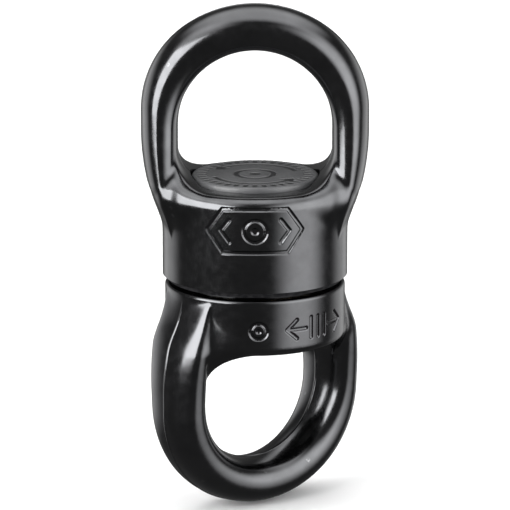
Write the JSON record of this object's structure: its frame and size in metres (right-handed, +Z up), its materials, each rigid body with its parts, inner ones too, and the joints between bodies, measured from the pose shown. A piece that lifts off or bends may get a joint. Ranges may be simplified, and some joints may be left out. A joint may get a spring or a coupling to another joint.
{
  "type": "ball-bearing swivel with two eyes",
  "caption": "Ball-bearing rigging swivel: two forged aluminium eyes that turn freely on one axis, with a cover cap over the bearing chamber.",
  "frame": {"origin": "the middle of the upper eye's bearing surface, where an anchor connector carries the load, on the swivel axis", "axes": "+Z up along the swivel axis, +Y through the upper eye's window, +X across the upper eye; the lower eye rests turned 37 degrees about +Z"},
  "size_m": [0.0386, 0.0314, 0.0867],
  "materials": {
    "black_anodised": "satin black anodised forging",
    "cap_anodised": "matte dark grey anodised",
    "spindle_steel": "ground and plated",
    "bearing_steel": "polished, lightly greased",
    "bronze": "turned",
    "cage_plastic": "moulded nylon",
    "seal_rubber": "matte"
  },
  "bodies": {
    "anchor": {"upper_eye": "black_anodised", "cover_cap": "cap_anodised", "cap_seal": "seal_rubber", "housing_race": "bearing_steel", "guide_bush": "bronze", "rim_seal": "seal_rubber"},
    "load": {"lower_eye": "black_anodised", "spindle": "spindle_steel", "lock_pin": "bearing_steel", "spindle_race": "bearing_steel", "wear_washer": "bronze"},
    "cage": {"ball_cage": "cage_plastic"},
    "ball_01": {"ball_01": "bearing_steel"},
    "ball_02": {"ball_02": "bearing_steel"},
    "ball_03": {"ball_03": "bearing_steel"},
    "ball_04": {"ball_04": "bearing_steel"},
    "ball_05": {"ball_05": "bearing_steel"},
    "ball_06": {"ball_06": "bearing_steel"},
    "ball_07": {"ball_07": "bearing_steel"},
    "ball_08": {"ball_08": "bearing_steel"},
    "ball_09": {"ball_09": "bearing_steel"},
    "ball_10": {"ball_10": "bearing_steel"},
    "ball_11": {"ball_11": "bearing_steel"},
    "ball_12": {"ball_12": "bearing_steel"}
  },
  "joints": [
    {"name": "swivel", "type": "hinge", "parent": "anchor", "child": "load", "pos_m": [0, 0, 0], "axis": [0, 0, 1], "continuous": true},
    {"name": "cage_orbit", "type": "hinge", "parent": "anchor", "child": "cage", "pos_m": [0, 0, 0], "axis": [0, 0, 1], "continuous": true},
    {"name": "ball_01_roll", "type": "hinge", "parent": "cage", "child": "ball_01", "pos_m": [0.00725, 0, -0.0315], "axis": [1, 0, 0], "continuous": true},
    {"name": "ball_02_roll", "type": "hinge", "parent": "cage", "child": "ball_02", "pos_m": [0.00628, 0.00363, -0.0315], "axis": [0.866, 0.5, 0], "continuous": true},
    {"name": "ball_03_roll", "type": "hinge", "parent": "cage", "child": "ball_03", "pos_m": [0.00363, 0.00628, -0.0315], "axis": [0.5, 0.866, 0], "continuous": true},
    {"name": "ball_04_roll", "type": "hinge", "parent": "cage", "child": "ball_04", "pos_m": [0, 0.00725, -0.0315], "axis": [0, 1, 0], "continuous": true},
    {"name": "ball_05_roll", "type": "hinge", "parent": "cage", "child": "ball_05", "pos_m": [-0.00363, 0.00628, -0.0315], "axis": [-0.5, 0.866, 0], "continuous": true},
    {"name": "ball_06_roll", "type": "hinge", "parent": "cage", "child": "ball_06", "pos_m": [-0.00628, 0.00363, -0.0315], "axis": [-0.866, 0.5, 0], "continuous": true},
    {"name": "ball_07_roll", "type": "hinge", "parent": "cage", "child": "ball_07", "pos_m": [-0.00725, 0, -0.0315], "axis": [-1, 0, 0], "continuous": true},
    {"name": "ball_08_roll", "type": "hinge", "parent": "cage", "child": "ball_08", "pos_m": [-0.00628, -0.00363, -0.0315], "axis": [-0.866, -0.5, 0], "continuous": true},
    {"name": "ball_09_roll", "type": "hinge", "parent": "cage", "child": "ball_09", "pos_m": [-0.00363, -0.00628, -0.0315], "axis": [-0.5, -0.866, 0], "continuous": true},
    {"name": "ball_10_roll", "type": "hinge", "parent": "cage", "child": "ball_10", "pos_m": [0, -0.00725, -0.0315], "axis": [0, -1, 0], "continuous": true},
    {"name": "ball_11_roll", "type": "hinge", "parent": "cage", "child": "ball_11", "pos_m": [0.00363, -0.00628, -0.0315], "axis": [0.5, -0.866, 0], "continuous": true},
    {"name": "ball_12_roll", "type": "hinge", "parent": "cage", "child": "ball_12", "pos_m": [0.00628, -0.00363, -0.0315], "axis": [0.866, -0.5, 0], "continuous": true}
  ],
  "couplings": [
    {"joint": "cage_orbit", "follows": "swivel", "ratio": 0.5},
    {"joint": "ball_01_roll", "follows": "swivel", "ratio": -2.2835},
    {"joint": "ball_02_roll", "follows": "swivel", "ratio": -2.2835},
    {"joint": "ball_03_roll", "follows": "swivel", "ratio": -2.2835},
    {"joint": "ball_04_roll", "follows": "swivel", "ratio": -2.2835},
    {"joint": "ball_05_roll", "follows": "swivel", "ratio": -2.2835},
    {"joint": "ball_06_roll", "follows": "swivel", "ratio": -2.2835},
    {"joint": "ball_07_roll", "follows": "swivel", "ratio": -2.2835},
    {"joint": "ball_08_roll", "follows": "swivel", "ratio": -2.2835},
    {"joint": "ball_09_roll", "follows": "swivel", "ratio": -2.2835},
    {"joint": "ball_10_roll", "follows": "swivel", "ratio": -2.2835},
    {"joint": "ball_11_roll", "follows": "swivel", "ratio": -2.2835},
    {"joint": "ball_12_roll", "follows": "swivel", "ratio": -2.2835}
  ]
}
